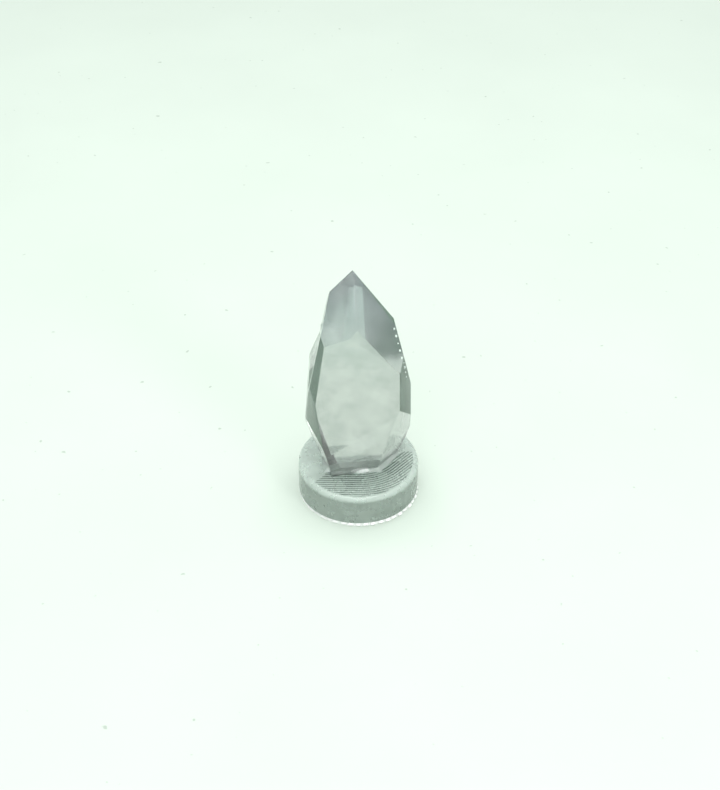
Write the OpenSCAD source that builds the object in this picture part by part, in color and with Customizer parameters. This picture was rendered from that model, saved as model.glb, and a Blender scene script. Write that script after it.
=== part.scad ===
// Hood ornament: a clear faceted crystal set in a round resin foot that sticks
// down with a clear adhesive pad. Millimetres, +Z up, +Y towards the back,
// origin at the centre of the underside.

/* [Crystal] */
// Rise of the tip above the top of the foot
tip_rise = 54.9; // [44:0.1:68]
// Width across the crystal, side to side
crystal_w = 25.6; // [21:0.1:31]
// Depth of the crystal, front to back
crystal_d = 16.8; // [14:0.1:20.5]
// Sideways shift of the tip, to the left when negative
tip_shift = -1.3; // [-3:0.1:1]
// Set-back of the tip behind the middle
tip_setback = 1; // [0:0.1:3]

/* [Foot] */
// Diameter of the foot
foot_d = 30; // [27:0.5:38]
// Height of the foot at its middle
foot_h = 8.25; // [6:0.05:12]
// Fall of the foot's top towards the front, in degrees
top_fall = 3; // [1:0.5:5]
// Radius of the foot's rounded top edge
edge_r = 1.2; // [0.6:0.1:2]
// Depth of the socket that the crystal sits in
socket_depth = 1.2; // [0.8:0.1:2.5]

/* [Bond] */
// Thickness of the cured adhesive between crystal and socket
bond_gap = 0.1; // [0.06:0.02:0.2]
// Width of the adhesive bead round the crystal, on the foot
bead_w = 0.9; // [0.5:0.1:1.5]
// Slope of the bead's outside, in degrees from upright
bead_slope = 45; // [35:1:55]

/* [Mounting pad] */
// Thickness of the double-sided acrylic pad
pad_t = 0.8; // [0.5:0.1:1.6]
// Step from the foot's wall in to the pad's edge
pad_inset = 0.15; // [0:0.05:1]
// Thickness of the release liner under the pad
liner_t = 0.1; // [0.05:0.05:0.2]

/* [Hidden] */
$fn = 96;

// Every face of the crystal is one flat cut: the direction it looks in plan
// (0 is +X, 90 is the back), how far it leans in going up (an undercut is
// negative), and its distance from the axis at a level above the foot.
// The chart is drawn for a stone of this width, depth and rise.
CHART = [25.6, 16.8, 54.9];

// Cuts that meet at the tip, which need no distance; the third is the narrow
// facet down the right edge
CROWN = [[145, 35], [26, 33], [-11, 37.4], [-56, 30], [-102, 31], [85, 38]];

// Upright cuts of the main spire, and a small facet between crown and front
SPIRE = [
    [176, 11, 7.3, 46],
    [8, 13, 9.3, 37.4],
    [2, 1, 12.6, 21],
    [181, 3, 12.2, 21],
    [-90, 3, 8.2, 21],
    [-22, 2, 12.2, 21],
    [-140, 8, 11.1, 36],
    [76, 1, 8.3, 21],
    [104, 2, 9, 21],
    [140, 5, 12, 21],
    [40, 4, 11.6, 21],
    [-80, 15, 7.1, 40]
];

// Upright cuts of the shorter crystal grown on the left of the spire
SHOOT = [
    [-163, 0, 11.8, 21],
    [-159, 10, 11.9, 21],
    [181, 5, 12.2, 21],
    [181, 21, 10.9, 29],
    [-90, 3, 8, 21],
    [90, 4, 8, 21],
    [0, 14, -5, 31]
];

// Upright cuts of the small bud on the left shoulder, above the shoot
BUD = [
    [-176, 4, 8.7, 40],
    [180, 40, 8.7, 40.4],
    [-100, 4, 5, 40],
    [90, 4, 0.5, 40],
    [0, 12, 0, 40]
];

// Undercuts that draw the crystals in to the foot
UNDERCUTS = [
    [-90, -26, 8.7, 9.7],
    [-77, -14, 8.1, 12],
    [-39, -17, 8.3, 6.7],
    [-8, -14, 12.3, 9],
    [40, -18, 11.6, 9],
    [90, -16, 8.5, 11],
    [146, -22, 11.3, 9],
    [-176, -31, 13.1, 8.2],
    [-155, -5, 12.2, 19],
    [-158, -15, 10.1, 6]
];

// Levels on the way up from the surface that the ornament stands on
pad_z = liner_t;
foot_z = pad_z + pad_t;
top_z = foot_z + foot_h;
socket_z = top_z - socket_depth;

// The foot's sloping top: the centre of the rim's rounding, the way the top
// looks, and a point on it
rim_centre = [0, 0, top_z - edge_r];
top_looks = [0, -sin(top_fall), cos(top_fall)];
top_point = rim_centre + edge_r * top_looks;

stretch = [crystal_w / CHART[0], crystal_d / CHART[1], tip_rise / CHART[2]];
tip = [tip_shift, tip_setback, tip_rise];
big = 2 * (tip_rise + foot_d);

// Outward direction of a face once the stone is stretched from the chart
function looks(face) = [
    cos(face[0]) * cos(face[1]) / stretch.x,
    sin(face[0]) * cos(face[1]) / stretch.y,
    sin(face[1]) / stretch.z
];

// A point on a side face, from its distance and level
function point_on(face) = [
    face[2] * cos(face[0]) * stretch.x,
    face[2] * sin(face[0]) * stretch.y,
    face[3] * stretch.z
];

// Distance of a face from the axis where it reaches the foot
function reach_at_foot(face) = face[2] + face[3] * tan(face[1]);

// All that lies outside the plane through a point, looking along a direction
module outside(point, direction, grow = 0) {
    along = direction / norm(direction);
    translate(point + grow * along)
        rotate([0, acos(along.z), atan2(along.y, along.x)])
            translate([-big / 2, -big / 2, 0])
                cube(big);
}

// One closed stone between two levels, cut by its faces
module cut_stone(sides, floor_level, grow) {
    difference() {
        translate([-crystal_w, -crystal_w, floor_level - grow])
            cube([2 * crystal_w, 2 * crystal_w, tip_rise + socket_depth + crystal_w]);
        for (face = CROWN)
            outside(tip, looks(face), grow);
        for (face = concat(sides, UNDERCUTS))
            outside(point_on(face), looks(face), grow);
    }
}

// The crystal with its faces moved out by a gap, standing in its socket
module crystal(grow = 0) {
    translate([0, 0, top_z])
        union() {
            cut_stone(SPIRE, -socket_depth, grow);
            cut_stone(SHOOT, -socket_depth, grow);
            cut_stone(BUD, -socket_depth, grow);
        }
}

// All that lies above the foot's sloping top
module above_top() {
    outside(top_point, top_looks);
}

// The foot without its socket: an upright wall under a sloping, rounded top
module foot_blank() {
    hull() {
        translate([0, 0, foot_z])
            cylinder(d = foot_d, h = pad_t);
        translate(rim_centre)
            rotate([top_fall, 0, 0])
                rotate_extrude()
                    rounded_edge();
    }
}

// Half section of the top's rim
module rounded_edge() {
    translate([foot_d / 2 - edge_r, 0])
        intersection() {
            circle(r = edge_r, $fn = 32);
            square(edge_r);
        }
}

module crystal_point() {
    color([0.78, 0.88, 0.83])
        crystal();
}

module foot_disc() {
    color([0.7, 0.8, 0.75])
        difference() {
            foot_blank();
            crystal(bond_gap);
        }
}

// Thin cup of adhesive between the crystal and its socket
module bond_film() {
    color([0.9, 0.95, 0.9])
        difference() {
            crystal(bond_gap);
            crystal();
            above_top();
        }
}

// Adhesive bead in the corner between the crystal and the foot's top
module bond_bead() {
    color([0.92, 0.97, 0.93])
        difference() {
            translate([-foot_d / 2, -foot_d / 2, socket_z])
                cube([foot_d, foot_d, socket_depth + crystal_w]);
            for (face = UNDERCUTS)
                translate([0, 0, top_z])
                    outside(bead_point(face), looks([face[0], bead_slope]));
            below_top();
            crystal();
        }
}

// Where the outside of the bead meets the foot, in front of a face
function bead_point(face) =
    point_on([face[0], 0, reach_at_foot(face), 0])
    + bead_w * [cos(face[0]), sin(face[0]), 0];

// All that lies below the foot's sloping top
module below_top() {
    outside(top_point, -top_looks);
}

module mounting_pad() {
    color([0.85, 0.92, 0.88])
        translate([0, 0, pad_z])
            cylinder(d = foot_d - 2 * pad_inset, h = pad_t);
}

module release_liner() {
    color([0.95, 0.97, 0.95])
        cylinder(d = foot_d, h = liner_t);
}

crystal_point();
foot_disc();
bond_film();
bond_bead();
mounting_pad();
release_liner();
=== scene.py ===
import bpy
import math
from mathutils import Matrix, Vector


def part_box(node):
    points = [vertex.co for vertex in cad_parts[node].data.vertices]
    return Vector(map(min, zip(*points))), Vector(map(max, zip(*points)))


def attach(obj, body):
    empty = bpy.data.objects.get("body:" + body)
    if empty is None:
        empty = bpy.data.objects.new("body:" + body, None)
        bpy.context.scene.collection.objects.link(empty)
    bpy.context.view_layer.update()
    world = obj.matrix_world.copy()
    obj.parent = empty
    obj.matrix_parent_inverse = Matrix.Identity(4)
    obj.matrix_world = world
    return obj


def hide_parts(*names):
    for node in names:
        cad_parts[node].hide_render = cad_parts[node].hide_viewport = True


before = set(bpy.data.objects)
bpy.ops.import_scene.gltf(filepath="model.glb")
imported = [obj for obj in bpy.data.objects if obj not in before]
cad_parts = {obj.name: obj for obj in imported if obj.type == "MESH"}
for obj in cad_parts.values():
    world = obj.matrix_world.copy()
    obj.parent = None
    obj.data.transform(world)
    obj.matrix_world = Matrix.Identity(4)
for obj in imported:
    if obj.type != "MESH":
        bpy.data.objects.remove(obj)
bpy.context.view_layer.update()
mm = 0.001

# the ornament's own places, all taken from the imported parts
footLow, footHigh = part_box("foot_disc")
padLow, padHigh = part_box("mounting_pad")
linerLow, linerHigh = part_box("release_liner")


# ---- hand tools ----

def clearSelection():
    if bpy.context.mode != "OBJECT":
        bpy.ops.object.mode_set(mode="OBJECT")
    bpy.ops.object.select_all(action="DESELECT")


def workOn(piece):
    clearSelection()
    piece.select_set(True)
    bpy.context.view_layer.objects.active = piece


def openAll(piece, mode="VERT"):
    workOn(piece)
    bpy.ops.object.mode_set(mode="EDIT")
    bpy.ops.mesh.select_mode(type=mode)
    bpy.ops.mesh.select_all(action="SELECT")


def openSome(piece, mode, test):
    # opens the piece with only the points, edges or faces that pass the test selected
    openAll(piece, mode)
    bpy.ops.mesh.select_all(action="DESELECT")
    bpy.ops.object.mode_set(mode="OBJECT")
    mesh = piece.data
    if mode == "VERT":
        for point in mesh.vertices:
            point.select = test(point.co)
    elif mode == "EDGE":
        for edge in mesh.edges:
            ends = [mesh.vertices[index].co for index in edge.vertices]
            edge.select = test(ends[0], ends[1])
    else:
        for face in mesh.polygons:
            face.select = test(face.center, face.normal)
    bpy.ops.object.mode_set(mode="EDIT")


def close():
    bpy.ops.object.mode_set(mode="OBJECT")


def settle(piece):
    workOn(piece)
    bpy.ops.object.transform_apply(location=True, rotation=True, scale=True)


def tidyMesh(piece):
    openAll(piece)
    bpy.ops.mesh.remove_doubles(threshold=0.002 * mm)
    bpy.ops.mesh.normals_make_consistent(inside=False)
    close()


def useModifier(piece, kind, **settings):
    workOn(piece)
    modifier = piece.modifiers.new(kind.title(), kind)
    for key, value in settings.items():
        setattr(modifier, key, value)
    bpy.ops.object.modifier_apply(modifier=modifier.name)


def carve(piece, tool, operation):
    # joins, cuts or keeps by a second solid, which is used up
    useModifier(piece, "BOOLEAN", object=tool, operation=operation, solver="EXACT")
    bpy.data.objects.remove(tool)


def fromPart(nodeName, pieceName):
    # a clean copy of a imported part, its loose triangles welded and its flat faces whole
    piece = bpy.data.objects.new(pieceName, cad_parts[nodeName].data.copy())
    bpy.context.scene.collection.objects.link(piece)
    piece.data.name = pieceName
    piece.data.materials.clear()
    openAll(piece)
    bpy.ops.mesh.customdata_custom_splitnormals_clear()
    bpy.ops.mesh.remove_doubles(threshold=0.002 * mm)
    bpy.ops.mesh.dissolve_limited(angle_limit=math.radians(0.3))
    bpy.ops.mesh.normals_make_consistent(inside=False)
    close()
    return piece


def swell(piece, amount):
    # moves every face outward by the same amount
    openAll(piece)
    bpy.ops.transform.shrink_fatten(value=amount, use_even_offset=True)
    close()


def finishPiece(piece, name, node, materials, smoothAngle=30):
    settle(piece)
    tidyMesh(piece)
    workOn(piece)
    bpy.ops.object.shade_smooth_by_angle(angle=math.radians(smoothAngle))
    piece.name = name
    piece.data.name = name
    kept = [face.material_index for face in piece.data.polygons]
    piece.data.materials.clear()
    for material in materials:
        piece.data.materials.append(material)
    for face, index in zip(piece.data.polygons, kept):
        face.material_index = min(index, len(materials) - 1)
    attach(piece, "root")
    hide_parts(node)


# ---- finishes ----

def newMaterial(name):
    material = bpy.data.materials.new(name)
    material.use_nodes = True
    tree = material.node_tree
    return material, tree, tree.nodes["Principled BSDF"]


def objectPlace(tree, stretch=(1, 1, 1)):
    place = tree.nodes.new("ShaderNodeTexCoord").outputs["Object"]
    mapping = tree.nodes.new("ShaderNodeMapping")
    mapping.inputs["Scale"].default_value = stretch
    tree.links.new(place, mapping.inputs["Vector"])
    return mapping.outputs["Vector"]


def noiseOn(tree, place, scale, detail=3.0, roughness=0.5):
    noise = tree.nodes.new("ShaderNodeTexNoise")
    noise.inputs["Scale"].default_value = scale
    noise.inputs["Detail"].default_value = detail
    noise.inputs["Roughness"].default_value = roughness
    tree.links.new(place, noise.inputs["Vector"])
    return noise.outputs["Fac"]


def rampOn(tree, source, low, high, lowColour, highColour):
    ramp = tree.nodes.new("ShaderNodeValToRGB")
    ramp.color_ramp.elements[0].position = low
    ramp.color_ramp.elements[1].position = high
    ramp.color_ramp.elements[0].color = (*lowColour, 1)
    ramp.color_ramp.elements[1].color = (*highColour, 1)
    tree.links.new(source, ramp.inputs["Fac"])
    return ramp.outputs["Color"]


def greyRamp(tree, source, low, high, lowValue, highValue):
    return rampOn(tree, source, low, high, (lowValue,) * 3, (highValue,) * 3)


def multiply(tree, first, second, share=1.0):
    mix = tree.nodes.new("ShaderNodeMix")
    mix.data_type = "RGBA"
    mix.blend_type = "MULTIPLY"
    mix.inputs["Factor"].default_value = share
    tree.links.new(first, mix.inputs["A"])
    tree.links.new(second, mix.inputs["B"])
    return mix.outputs["Result"]


speckLook = {
    "core": 0.35,  # as shares of the speck's width
    "rim": 0.6,
    "darkest": 0.01,
}


def specksOn(tree, colour, specks):
    # dark specks of dust: each is a place and a width
    plain = tree.nodes.new("ShaderNodeTexCoord").outputs["Object"]
    for place, width in specks:
        distance = tree.nodes.new("ShaderNodeVectorMath")
        distance.operation = "DISTANCE"
        distance.inputs[1].default_value = place
        tree.links.new(plain, distance.inputs[0])
        spot = tree.nodes.new("ShaderNodeMapRange")
        spot.inputs["From Min"].default_value = width * speckLook["core"]
        spot.inputs["From Max"].default_value = width * speckLook["rim"]
        spot.inputs["To Min"].default_value = speckLook["darkest"]
        tree.links.new(distance.outputs["Value"], spot.inputs["Value"])
        colour = multiply(tree, colour, spot.outputs["Result"])
    return colour


def bumpOn(tree, shader, heights, distance, strength=1.0):
    bump = tree.nodes.new("ShaderNodeBump")
    bump.inputs["Strength"].default_value = strength
    bump.inputs["Distance"].default_value = distance
    tree.links.new(heights, bump.inputs["Height"])
    tree.links.new(bump.outputs["Normal"], shader.inputs["Normal"])


def heightRamp(tree, low, high, lowColour, highColour):
    # a colour that changes with height above the table
    plain = tree.nodes.new("ShaderNodeTexCoord").outputs["Object"]
    parts = tree.nodes.new("ShaderNodeSeparateXYZ")
    tree.links.new(plain, parts.inputs["Vector"])
    level = tree.nodes.new("ShaderNodeMapRange")
    level.inputs["From Min"].default_value = low
    level.inputs["From Max"].default_value = high
    tree.links.new(parts.outputs["Z"], level.inputs["Value"])
    return rampOn(tree, level.outputs["Result"], 0.0, 1.0, lowColour, highColour)


clearResinLook = {
    "ior": 1.49,
    # see is how much light goes through, the rest is milkiness
    # painted shade: the face and crown tints darken towards the top, for the darker room that the
    # upper facets show
    "face": {"see": 0.90, "from": 36 * mm, "to": 48 * mm,
             "low": (0.72, 0.73, 0.72), "high": (0.66, 0.70, 0.69)},
    "crown": {"see": 0.80, "from": 42 * mm, "to": 56 * mm,
              "low": (0.64, 0.675, 0.665), "high": (0.51, 0.57, 0.59)},
    # painted shade: the flanks and the narrow edge facet are tinted dark for the dark sides of the
    # room that they turn towards
    "flank": {"see": 0.90, "from": 22 * mm, "to": 42 * mm,
              "low": (0.008, 0.024, 0.013), "high": (0.08, 0.12, 0.098)},
    "edge": {"see": 0.60, "from": 50 * mm, "to": 60 * mm,
             "low": (0.16, 0.27, 0.20), "high": (0.24, 0.34, 0.28)},
    "cloudTint": (0.78, 0.81, 0.80),
    "dullFrom": 36 * mm,
    "dullTo": 54 * mm,
    "lowDull": 0.12,
    "highDull": 0.2,
    "cloudScale": 160.0,
    "rippleStretch": (0.5, 0.5, 6.0),  # the print's layers, drawn out level
    "rippleScale": 260.0,
    "rippleDepth": 0.012 * mm,
    "rippleShow": 0.6,
    "patchy": 0.6,  # the glossiest patches, as a share of the dullest
    "specks": [((10.22 * mm, -7.02 * mm, 32.82 * mm), 0.42 * mm)],
}


def clearResin(name, part):
    look = clearResinLook
    tone = look[part]
    material, tree, shader = newMaterial(name)
    place = objectPlace(tree)
    shader.inputs["Transmission Weight"].default_value = tone["see"]
    shader.inputs["IOR"].default_value = look["ior"]
    tint = heightRamp(tree, tone["from"], tone["to"], tone["low"], tone["high"])
    cloud = noiseOn(tree, place, look["cloudScale"], 3.0, 0.6)
    cloudTint = rampOn(tree, cloud, 0.35, 0.6, look["cloudTint"], (1, 1, 1))
    colour = multiply(tree, tint, cloudTint)
    colour = specksOn(tree, colour, look["specks"])
    tree.links.new(colour, shader.inputs["Base Color"])
    dull = heightRamp(tree, look["dullFrom"], look["dullTo"], (look["lowDull"],) * 3,
                      (look["highDull"],) * 3)
    patchy = greyRamp(tree, cloud, 0.3, 0.7, look["patchy"], 1.0)
    tree.links.new(multiply(tree, dull, patchy), shader.inputs["Roughness"])
    ripple = noiseOn(tree, objectPlace(tree, look["rippleStretch"]), look["rippleScale"], 2.0)
    bumpOn(tree, shader, ripple, look["rippleDepth"], look["rippleShow"])
    return material


milkyLook = {
    "see": 0.3,
    "ior": 1.49,
    "tint": (0.88, 0.96, 0.91),
    "paleTint": (0.98, 1.0, 0.99),
    "leastHaze": 0.1,
    "mostHaze": 0.3,
    "cloudScale": 330.0,
    "depth": 0.03 * mm,
    "show": 0.4,
}


def milkyResin():
    # the crystal's undercut base, scuffed and full of adhesive haze
    look = milkyLook
    material, tree, shader = newMaterial("milkyResin")
    place = objectPlace(tree)
    shader.inputs["Transmission Weight"].default_value = look["see"]
    shader.inputs["IOR"].default_value = look["ior"]
    cloud = noiseOn(tree, place, look["cloudScale"], 3.0, 0.6)
    colour = rampOn(tree, cloud, 0.3, 0.65, look["tint"], look["paleTint"])
    tree.links.new(colour, shader.inputs["Base Color"])
    haze = greyRamp(tree, cloud, 0.3, 0.7, look["leastHaze"], look["mostHaze"])
    tree.links.new(haze, shader.inputs["Roughness"])
    bumpOn(tree, shader, cloud, look["depth"], look["show"])
    return material


pipLook = {
    "tint": (0.60, 0.70, 0.65),
    "paleTint": (0.86, 0.93, 0.89),
    "dull": 0.35,
    "grainScale": 2600.0,
}


def pipResin():
    # torn supports leave little white stubs
    look = pipLook
    material, tree, shader = newMaterial("pipResin")
    grain = noiseOn(tree, objectPlace(tree), look["grainScale"], 2.0)
    colour = rampOn(tree, grain, 0.3, 0.6, look["tint"], look["paleTint"])
    tree.links.new(colour, shader.inputs["Base Color"])
    shader.inputs["Roughness"].default_value = look["dull"]
    return material


frostedLook = {
    "see": 0.5,
    "ior": 1.49,
    # painted shade: the wall is tinted darker than the top, which catches more light
    "wallShadeTint": (0.46, 0.535, 0.485),
    "topTint": (0.78, 0.89, 0.82),
    "wallTo": 7.2 * mm,
    "topFrom": 7.8 * mm,
    "cloudTint": (0.90, 0.91, 0.905),
    # painted shade in the step grooves, on the risers
    "grooveShadeTint": (0.08, 0.12, 0.10),
    "grooveShadeMiddle": (0.24, 0.33, 0.28),
    "cloudScale": 260.0,
    "leastHaze": 0.18,
    "mostHaze": 0.36,
    "streakStretch": (1, 1, 0.15),  # the wall's fine upright streaks
    "streakScale": 500.0,
    "streakDepth": 0.01 * mm,
    "streakShow": 0.4,
    "specks": [((-6.42 * mm, -6.24 * mm, 8.86 * mm), 0.5 * mm),
               ((-1.54 * mm, -9.35 * mm, 8.70 * mm), 0.34 * mm)],
}


def frostedResin(name, shadedGrooves=False):
    look = frostedLook
    material, tree, shader = newMaterial(name)
    place = objectPlace(tree)
    shader.inputs["Transmission Weight"].default_value = look["see"]
    shader.inputs["IOR"].default_value = look["ior"]
    cloud = noiseOn(tree, place, look["cloudScale"], 4.0, 0.6)
    # the risers get painted shade
    if shadedGrooves:
        colour = rampOn(tree, cloud, 0.3, 0.7, look["grooveShadeTint"], look["grooveShadeMiddle"])
    else:
        # painted shade on the wall, lighter on the top
        tint = heightRamp(tree, look["wallTo"], look["topFrom"], look["wallShadeTint"],
                          look["topTint"])
        colour = multiply(tree, tint, rampOn(tree, cloud, 0.3, 0.7, look["cloudTint"],
                                             (1, 1, 1)))
    colour = specksOn(tree, colour, look["specks"])
    tree.links.new(colour, shader.inputs["Base Color"])
    haze = greyRamp(tree, cloud, 0.3, 0.7, look["leastHaze"], look["mostHaze"])
    tree.links.new(haze, shader.inputs["Roughness"])
    streakPlace = objectPlace(tree, look["streakStretch"])
    streaks = noiseOn(tree, streakPlace, look["streakScale"], 2.0)
    bumpOn(tree, shader, streaks, look["streakDepth"], look["streakShow"])
    return material


adhesiveLook = {
    "see": 0.5,
    "ior": 1.49,
    "tint": (0.80, 0.92, 0.85),
    "paleTint": (0.94, 1.0, 0.96),
    "dull": 0.06,
    "cloudScale": 300.0,
    "lumpScale": 700.0,
    "lumpDepth": 0.08 * mm,
    "lumpShow": 0.5,
}


def clearAdhesive():
    look = adhesiveLook
    material, tree, shader = newMaterial("clearAdhesive")
    place = objectPlace(tree)
    shader.inputs["Transmission Weight"].default_value = look["see"]
    shader.inputs["IOR"].default_value = look["ior"]
    cloud = noiseOn(tree, place, look["cloudScale"], 2.0)
    colour = rampOn(tree, cloud, 0.3, 0.6, look["tint"], look["paleTint"])
    tree.links.new(colour, shader.inputs["Base Color"])
    shader.inputs["Roughness"].default_value = look["dull"]
    lumps = noiseOn(tree, place, look["lumpScale"], 2.0)
    bumpOn(tree, shader, lumps, look["lumpDepth"], look["lumpShow"])
    return material


bubbleLook = {
    "tint": (0.72, 0.82, 0.76),
    # near white: partly a painted highlight on the drop
    "paleTint": (1.0, 1.0, 1.0),
    "dull": 0.22,
    "scale": 1800.0,
    "depth": 0.06 * mm,
    "show": 0.6,
}


def bubbledAdhesiveHighlight():
    # where the adhesive was squeezed out it is full of tiny bubbles; its near-white colour is also
    # a painted highlight
    look = bubbleLook
    material, tree, shader = newMaterial("bubbledAdhesiveHighlight")
    bubbles = noiseOn(tree, objectPlace(tree), look["scale"], 3.0)
    colour = rampOn(tree, bubbles, 0.3, 0.55, look["tint"], look["paleTint"])
    tree.links.new(colour, shader.inputs["Base Color"])
    shader.inputs["Roughness"].default_value = look["dull"]
    bumpOn(tree, shader, bubbles, look["depth"], look["show"])
    return material


padLook = {
    "ior": 1.47,
    "tint": (0.86, 0.93, 0.88),
    "paleTint": (1.0, 1.0, 1.0),
    "dull": 0.3,
    "bubbleScale": 1400.0,
    "bubbleDepth": 0.05 * mm,
    "bubbleShow": 0.6,
}


def acrylicPad():
    look = padLook
    material, tree, shader = newMaterial("acrylicPad")
    shader.inputs["IOR"].default_value = look["ior"]
    bubbles = noiseOn(tree, objectPlace(tree), look["bubbleScale"], 2.0)
    colour = rampOn(tree, bubbles, 0.3, 0.5, look["tint"], look["paleTint"])
    tree.links.new(colour, shader.inputs["Base Color"])
    shader.inputs["Roughness"].default_value = look["dull"]
    bumpOn(tree, shader, bubbles, look["bubbleDepth"], look["bubbleShow"])
    return material


linerLook = {
    "tint": (0.84, 0.88, 0.84),
    "paleTint": (1.0, 1.0, 1.0),
    "dull": 0.12,
    "creaseScale": 700.0,
    "creaseDepth": 0.04 * mm,
    "creaseShow": 0.5,
}


def linerFilm():
    look = linerLook
    material, tree, shader = newMaterial("linerFilm")
    crease = noiseOn(tree, objectPlace(tree), look["creaseScale"], 3.0)
    colour = rampOn(tree, crease, 0.35, 0.65, look["tint"], look["paleTint"])
    tree.links.new(colour, shader.inputs["Base Color"])
    shader.inputs["Roughness"].default_value = look["dull"]
    bumpOn(tree, shader, crease, look["creaseDepth"], look["creaseShow"])
    return material


paperLook = {
    "dark": (0.570, 0.635, 0.575),
    "pale": (0.590, 0.657, 0.595),
    "grainScale": 14.0,
    "fleckTint": (0.7, 0.72, 0.7),
    "fleckScale": 420.0,
    "dull": 0.6,
}


def floorPaper():
    look = paperLook
    material, tree, shader = newMaterial("floorPaper")
    place = objectPlace(tree)
    grain = noiseOn(tree, place, look["grainScale"], 4.0)
    tone = rampOn(tree, grain, 0.35, 0.7, look["dark"], look["pale"])
    fleck = noiseOn(tree, place, look["fleckScale"], 1.0)
    fleckTone = rampOn(tree, fleck, 0.2, 0.24, look["fleckTint"], (1, 1, 1))
    tree.links.new(multiply(tree, tone, fleckTone), shader.inputs["Base Color"])
    shader.inputs["Roughness"].default_value = look["dull"]
    return material


# ---- camera, light and floor ----

view = {
    "tilt": 37.5,  # degrees below level
    "distance": 338.5 * mm,
    "aimAside": 0.42 * mm,
    "aimHeight": 29.07 * mm,
    "focal": 63.8,
    "nearest": 10 * mm,
    "farthest": 20,
}

studio = {
    "floorSize": 6.0,
    "skyLow": (0.54, 0.58, 0.58),
    "skyHigh": (0.92, 0.97, 0.94),
    "skyPower": 0.85,
    "frontShade": 0.8,  # the room is darker on the near side
    "aim": (0, 0, 0.01),
    "panelTint": (0.97, 1.0, 0.98),
    "topPlace": (0, 0.05, 0.9),
    "topSize": 0.6,
    "topPower": 7.2,
    "windowPlace": (0.55, -0.65, 0.5),
    "windowSize": 0.25,
    "windowPower": 1.6,
    "frontPlace": (-0.2, -0.75, 0.75),
    "frontSize": 0.5,
    "frontPower": 2.4,
}


def setCamera():
    clearSelection()
    bpy.ops.object.camera_add()
    camera = bpy.context.object
    tilt = math.radians(view["tilt"])
    aim = Vector((view["aimAside"], 0, view["aimHeight"]))
    back = Vector((0, -math.cos(tilt), math.sin(tilt)))
    camera.location = aim + back * view["distance"]
    camera.rotation_euler = (math.radians(90) - tilt, 0, 0)
    camera.data.lens = view["focal"]
    camera.data.clip_start = view["nearest"]
    camera.data.clip_end = view["farthest"]
    bpy.context.scene.camera = camera


def addPanel(name, place, aim, size, power, colour):
    clearSelection()
    bpy.ops.object.light_add(type="AREA", location=place)
    lamp = bpy.context.object
    lamp.name = name
    lamp.data.size = size
    lamp.data.energy = power
    lamp.data.color = colour
    lamp.rotation_euler = (Vector(aim) - Vector(place)).to_track_quat("-Z", "Y").to_euler()


def setSky():
    world = bpy.data.worlds.new("room")
    bpy.context.scene.world = world
    world.use_nodes = True
    tree = world.node_tree
    background = tree.nodes["Background"]
    direction = tree.nodes.new("ShaderNodeTexCoord").outputs["Generated"]
    parts = tree.nodes.new("ShaderNodeSeparateXYZ")
    tree.links.new(direction, parts.inputs["Vector"])
    tone = rampOn(tree, parts.outputs["Z"], 0.0, 0.8, studio["skyLow"], studio["skyHigh"])
    shade = greyRamp(tree, parts.outputs["Y"], 0.0, 0.5, studio["frontShade"], 1.0)
    colour = multiply(tree, tone, shade)
    tree.links.new(colour, background.inputs["Color"])
    background.inputs["Strength"].default_value = studio["skyPower"]


def setStudio():
    setSky()
    bpy.context.scene.view_settings.view_transform = "Standard"
    addPanel("topPanel", studio["topPlace"], (0, 0, 0), studio["topSize"],
             studio["topPower"], studio["panelTint"])
    addPanel("windowPanel", studio["windowPlace"], studio["aim"], studio["windowSize"],
             studio["windowPower"], (1, 1, 1))
    addPanel("frontPanel", studio["frontPlace"], studio["aim"], studio["frontSize"],
             studio["frontPower"], studio["panelTint"])
    clearSelection()
    bpy.ops.mesh.primitive_plane_add(size=studio["floorSize"], location=(0, 0, 0))
    floor = bpy.context.object
    floor.name = "floor"
    floor.data.materials.append(floorPaper())


# ---- the crystal ----

crystal = {
    "edgeWidth": 0.1 * mm,  # the soft edge between two cuts
    "edgeSteps": 2,
    "flankTurn": 0.7,  # how squarely a flank looks to the side
    "flankLean": 0.2,
    "frontTurn": -0.25,  # and how far to the front
    "baseLean": -0.4,  # front undercuts steeper than this are milky
    "crownLean": 0.4,
    "edgeLooks": Vector((0.78, -0.15, 0.607)),  # the narrow facet down the right edge
    # the flank and edge finishes carry painted shade
    "flankShadeFinish": 1,  # places in the list of finishes, where 0 is the plain face
    "milkyFinish": 2,
    "pipFinish": 3,
    "edgeShadeFinish": 4,
    "crownFinish": 5,
    "pips": 9,
    "pipSize": 0.23 * mm,
    "pipTall": 1.35,
    "pipTop": (8.6 * mm, -2.6 * mm, 50.3 * mm),
    "pipCorner": (10.4 * mm, -5.6 * mm, 44.2 * mm),
    "pipBottom": (11.5 * mm, -3.9 * mm, 37.4 * mm),
    "pipSink": 0.05 * mm,
}


def markFlanks(piece):
    # crown, front flanks, the front's steep undercut and the narrow edge facet differ; the flanks
    # and the edge facet take tints that are painted shade
    for face in piece.data.polygons:
        normal = face.normal
        if normal.dot(crystal["edgeLooks"]) > 0.99:
            face.material_index = crystal["edgeShadeFinish"]
        elif normal.z > crystal["crownLean"]:
            face.material_index = crystal["crownFinish"]
        if normal.y > crystal["frontTurn"]:
            continue
        if abs(normal.x) > crystal["flankTurn"] and abs(normal.z) < crystal["flankLean"]:
            face.material_index = crystal["flankShadeFinish"]
        elif normal.z < crystal["baseLean"]:
            face.material_index = crystal["milkyFinish"]


def makeCrystal(materials):
    piece = fromPart("crystal_point", "crystalPoint")
    for material in materials:
        piece.data.materials.append(material)
    openAll(piece, "EDGE")
    bpy.ops.mesh.bevel(offset=crystal["edgeWidth"], segments=crystal["edgeSteps"],
                       affect="EDGES", clamp_overlap=True)
    close()
    tidyMesh(piece)
    markFlanks(piece)
    addPips(piece, materials)
    return piece


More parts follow.
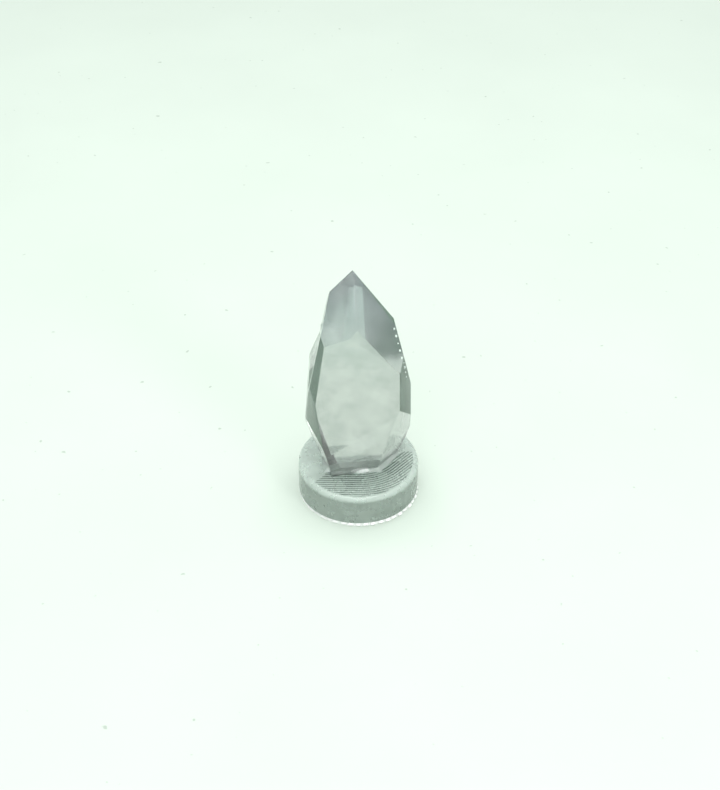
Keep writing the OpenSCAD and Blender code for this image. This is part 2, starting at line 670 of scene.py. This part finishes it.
def pipPlace(share):
    # down the crown's right edge to its corner, then down the flank
    top, corner, bottom = [Vector(crystal[key]) for key in ("pipTop", "pipCorner", "pipBottom")]
    if share < 0.5:
        return top.lerp(corner, share * 2)
    return corner.lerp(bottom, share * 2 - 1)


def addPips(piece, materials):
    # the row of little stubs that the print supports left down the right-hand edge
    for index in range(crystal["pips"]):
        share = index / (crystal["pips"] - 1)
        spot, normal = piece.closest_point_on_mesh(pipPlace(share))[1:3]
        size = crystal["pipSize"] * (1.0 + 0.25 * math.sin(index * 2.3))
        clearSelection()
        bpy.ops.mesh.primitive_ico_sphere_add(subdivisions=2, radius=size,
                                              location=spot - normal * crystal["pipSink"])
        pip = bpy.context.object
        bpy.ops.object.mode_set(mode="EDIT")
        bpy.ops.transform.resize(value=(1.0, 1.0, crystal["pipTall"]))
        close()
        settle(pip)
        for material in materials:
            pip.data.materials.append(material)
        for face in pip.data.polygons:
            face.material_index = crystal["pipFinish"]
        carve(piece, pip, "UNION")


# ---- the foot ----

foot = {
    "sides": 144,
    "topFall": 3.0,  # degrees, down to the front
    "rimRound": 1.2 * mm,
    "rimSteps": 7,
    "steps": 13,
    "stepPitch": 0.70 * mm,
    "stepRise": 0.07 * mm,
    "treadShare": 0.62,
    "bendPlace": (0.8 * mm, 3.3 * mm),
    "bendRadius": 8.0 * mm,
    "bendTurn": 47.0,  # degrees between the front steps and the right-hand ones
    "bendParts": 10,
    "leftRun": (5.6 * mm, 7.8 * mm),
    "rightRun": (3.4 * mm, 6.4 * mm),
    "plateDepth": 0.5 * mm,
    "plateLift": 0.01 * mm,
    "plateRadius": 13.7 * mm,
    "grooveShadeFinish": 1,
    "socketGap": 0.1 * mm,
}


def topLevel():
    # height of the sloping top at the middle of the foot
    fall = math.radians(foot["topFall"])
    reach = (footHigh.x - foot["rimRound"]) * math.sin(fall)
    rimCentre = footHigh.z - reach - foot["rimRound"]
    return rimCentre + foot["rimRound"] / math.cos(fall)


def makeBlank():
    fall = math.radians(foot["topFall"])
    tall = topLevel() + footHigh.x * math.tan(fall) + 1 * mm
    clearSelection()
    bpy.ops.mesh.primitive_cylinder_add(vertices=foot["sides"], radius=footHigh.x,
                                        depth=tall - footLow.z,
                                        location=(0, 0, (tall + footLow.z) / 2))
    piece = bpy.context.object
    settle(piece)
    openAll(piece)
    bpy.ops.mesh.bisect(plane_co=(0, 0, topLevel()),
                        plane_no=(0, -math.sin(fall), math.cos(fall)),
                        use_fill=True, clear_outer=True)
    close()
    sideStep = 2 * footHigh.x * math.sin(math.pi / foot["sides"])
    lowest = footLow.z + foot["rimRound"] * 3

    def onTopRim(a, b):
        return a.z > lowest and b.z > lowest and (a - b).length < sideStep * 1.5

    openSome(piece, "EDGE", onTopRim)
    bpy.ops.mesh.bevel(offset=foot["rimRound"], segments=foot["rimSteps"], affect="EDGES")
    close()
    tidyMesh(piece)
    return piece


def stepLine():
    # the first step's line: straight along the front, round the bend, and up the right side
    centre = Vector((*foot["bendPlace"], 0))
    radius = foot["bendRadius"]
    turn = math.radians(foot["bendTurn"])
    front = centre + Vector((0, -radius, 0))
    points = [front - Vector((run, 0, 0)) for run in reversed(foot["leftRun"])]
    points += [front - Vector((foot["leftRun"][0] * share, 0, 0)) for share in (0.66, 0.33)]
    for part in range(foot["bendParts"] + 1):
        angle = -math.pi / 2 + turn * part / foot["bendParts"]
        points.append(centre + radius * Vector((math.cos(angle), math.sin(angle), 0)))
    along = Vector((math.cos(turn), math.sin(turn), 0))
    last = points[-1]
    points += [last + along * foot["rightRun"][0] * share for share in (0.33, 0.66, 1)]
    points.append(last + along * foot["rightRun"][1])
    return points


def makeSteps():
    # the print's layer steps, drawn out one after another, still flat; laySteps tips them onto the
    # sloping top
    points = stepLine()
    clearSelection()
    bpy.ops.mesh.primitive_plane_add(size=1 * mm, location=points[0])
    piece = bpy.context.object
    settle(piece)
    openAll(piece)
    bpy.ops.mesh.merge(type="CENTER")
    for start, end in zip(points, points[1:]):
        bpy.ops.mesh.extrude_vertices_move(TRANSFORM_OT_translate={"value": end - start})
    bpy.ops.mesh.select_all(action="SELECT")
    bpy.ops.mesh.select_mode(type="EDGE")
    centre = Vector((*foot["bendPlace"], 0))
    reach = foot["bendRadius"]
    for step in range(foot["steps"]):
        tread = foot["stepPitch"] * foot["treadShare"]
        for grow, rise in ((tread, foot["stepRise"]),
                           (foot["stepPitch"] - tread, -foot["stepRise"])):
            bpy.ops.mesh.extrude_edges_move(TRANSFORM_OT_translate={"value": (0, 0, rise)})
            factor = (reach + grow) / reach
            bpy.ops.transform.resize(value=(factor, factor, 1), center_override=centre)
            reach += grow
    close()
    fadeEnds(piece, points, centre)
    return piece


def fadeEnds(piece, points, centre):
    # the steps run out to nothing at both ends
    first = (points[0] - centre).normalized()
    last = (points[-1] - centre).normalized()
    for point in piece.data.vertices:
        flat = Vector((point.co.x, point.co.y, 0)) - centre
        if flat.normalized().dot(first) > 0.9999 or flat.normalized().dot(last) > 0.9999:
            point.co.z = 0


def markRisers(piece):
    # the short faces that drop to the next step take the second finish, whose dark tint is painted
    # shade in the step grooves
    for face in piece.data.polygons:
        outward = Vector((face.center.x, face.center.y, 0)) - Vector((*foot["bendPlace"], 0))
        upright = face.normal if face.normal.z > 0 else -face.normal
        if upright.z > 0.5 and upright.dot(outward.normalized()) > 0.1:
            face.material_index = foot["grooveShadeFinish"]


def laySteps(piece):
    # thickens the step plate, trims it inside the rim, and tips it onto the top
    openAll(piece, "FACE")
    bpy.ops.mesh.extrude_region_move(
        TRANSFORM_OT_translate={"value": (0, 0, -foot["plateDepth"])})
    close()
    lowest = min(point.co.z for point in piece.data.vertices)
    for point in piece.data.vertices:
        if point.co.z < -foot["plateDepth"] / 2:
            point.co.z = lowest
    tidyMesh(piece)
    markRisers(piece)
    clearSelection()
    bpy.ops.mesh.primitive_cylinder_add(vertices=foot["sides"], radius=foot["plateRadius"],
                                        depth=4 * mm, location=(0, 0, 0))
    trim = bpy.context.object
    settle(trim)
    trim.data.materials.append(None)
    carve(piece, trim, "INTERSECT")
    fall = math.radians(foot["topFall"])
    piece.location = (0, 0, topLevel() + foot["plateLift"])
    piece.rotation_euler = (fall, 0, 0)
    settle(piece)


def makeFoot(materials):
    piece = makeBlank()
    steps = makeSteps()
    for each in (piece, steps):
        each.data.materials.clear()
        for material in materials:
            each.data.materials.append(material)
    laySteps(steps)
    carve(piece, steps, "UNION")
    socket = fromPart("crystal_point", "socketTool")
    swell(socket, foot["socketGap"])
    carve(piece, socket, "DIFFERENCE")
    return piece


# ---- the adhesive ----

bond = {
    "overlap": 0.02 * mm,  # clear pieces that touch sink into each other a little
    "beadSoft": 0.16 * mm,
    "beadSteps": 3,
    "dropPlace": (0.4 * mm, -4.45 * mm),
    "dropSize": (2.6 * mm, 1.0 * mm, 1.25 * mm),
    "dropLumps": 0.05 * mm,
    "dropSeed": 5,
    "dropFinish": 1,
}


def makeFilm():
    piece = fromPart("bond_film", "bondFilm")
    swell(piece, bond["overlap"])
    return piece


def makeBead(materials):
    piece = fromPart("bond_bead", "bondBead")
    for material in materials:
        piece.data.materials.append(material)
    swell(piece, bond["overlap"])
    openAll(piece, "EDGE")
    bpy.ops.mesh.bevel(offset=bond["beadSoft"], segments=bond["beadSteps"], affect="EDGES",
                       clamp_overlap=True)
    close()
    tidyMesh(piece)
    clearSelection()
    place = Vector((*bond["dropPlace"], topLevel()))
    bpy.ops.mesh.primitive_uv_sphere_add(segments=40, ring_count=20, radius=1 * mm, location=place)
    drop = bpy.context.object
    drop.scale = [size / mm for size in bond["dropSize"]]
    settle(drop)
    openAll(drop)
    bpy.ops.transform.vertex_random(offset=bond["dropLumps"], uniform=1.0, normal=0.0,
                                    seed=bond["dropSeed"])
    bpy.ops.mesh.vertices_smooth(factor=0.5, repeat=3)
    close()
    for material in materials:
        drop.data.materials.append(material)
    for face in drop.data.polygons:
        face.material_index = bond["dropFinish"]
    carve(piece, drop, "UNION")
    return piece


# ---- the pad and its liner ----

pad = {
    "sides": 360,
    "scallops": 50,
    "bulge": 0.045,  # how far a scallop stands out, as a share of the radius
    "proudest": math.radians(-56),
    "ragged": 0.05 * mm,
    "bandShare": 0.3,  # height of the scallops' band up the pad
    "rimShare": 0.9,  # points farther out than this are the edge
    "notch": 0.14,  # gap at each end of a scallop, as a share of its width
    "overlap": 0.02 * mm,
    "seed": 11,
}


def makeDisc(sides, radius, low, high):
    clearSelection()
    bpy.ops.mesh.primitive_cylinder_add(vertices=sides, radius=radius, depth=high - low,
                                        location=(0, 0, (low + high) / 2))
    piece = bpy.context.object
    settle(piece)
    return piece


def makePad():
    # cut from sheet by hand, so its edge is scalloped and ragged
    low, high = padLow.z, padHigh.z + pad["overlap"]
    piece = makeDisc(pad["sides"], padHigh.x, low, high)
    middle = low + (padHigh.z - low) * pad["bandShare"]
    openAll(piece)
    bpy.ops.mesh.bisect(plane_co=(0, 0, middle), plane_no=(0, 0, 1))
    close()
    for scallop in range(pad["scallops"]):
        start = 2 * math.pi * scallop / pad["scallops"]
        width = 2 * math.pi / pad["scallops"]
        facing = max(0, math.cos(start - pad["proudest"])) ** 2
        share = (0.3 + 0.7 * facing) * (0.6 + 0.4 * abs(math.sin(scallop * 1.7 + 0.6)))

        def inScallop(point):
            angle = math.atan2(point.y, point.x) % (2 * math.pi)
            notch = width * pad["notch"]
            inside = start + notch < angle < start + width - notch
            return inside and abs(point.z - middle) < 0.05 * mm

        openSome(piece, "VERT", inScallop)
        factor = 1 + pad["bulge"] * share
        bpy.ops.transform.resize(value=(factor, factor, 1), center_override=(0, 0, middle))
        close()
    openSome(piece, "VERT", lambda point: point.xy.length > padHigh.x * pad["rimShare"])
    bpy.ops.transform.vertex_random(offset=pad["ragged"], uniform=1.0, normal=0.0,
                                    seed=pad["seed"])
    close()
    for point in piece.data.vertices:
        point.co.z = min(max(point.co.z, low), high)
    return piece


def makeLiner():
    low, high = linerLow.z, linerHigh.z + pad["overlap"]
    piece = makeDisc(pad["sides"], linerHigh.x, low, high)
    openSome(piece, "VERT", lambda point: point.xy.length > padHigh.x * pad["rimShare"])
    bpy.ops.transform.vertex_random(offset=pad["ragged"], uniform=1.0, normal=0.0,
                                    seed=pad["seed"] + 1)
    close()
    for point in piece.data.vertices:
        point.co.z = low if point.co.z < (low + high) / 2 else high
    return piece


# ---- build ----

print("camera and studio")
setCamera()
setStudio()

print("crystal")
crystalFinishes = [clearResin("clearResin", "face"), clearResin("clearResinFlankShade", "flank"),
                   milkyResin(), pipResin(), clearResin("clearResinEdgeShade", "edge"),
                   clearResin("clearResinCrown", "crown")]
finishPiece(makeCrystal(crystalFinishes), "crystalPoint", "crystal_point",
            crystalFinishes, 20)

print("foot")
footFinishes = [frostedResin("frostedResin"), frostedResin("frostedGrooveShade", True)]
finishPiece(makeFoot(footFinishes), "footDisc", "foot_disc", footFinishes, 12)

print("adhesive")
bondFinishes = [clearAdhesive(), bubbledAdhesiveHighlight()]
finishPiece(makeFilm(), "bondFilm", "bond_film", bondFinishes[:1], 20)
finishPiece(makeBead(bondFinishes), "bondBead", "bond_bead", bondFinishes, 40)

print("pad and liner")
finishPiece(makePad(), "mountingPad", "mounting_pad", [acrylicPad()], 30)
finishPiece(makeLiner(), "releaseLiner", "release_liner", [linerFilm()], 30)
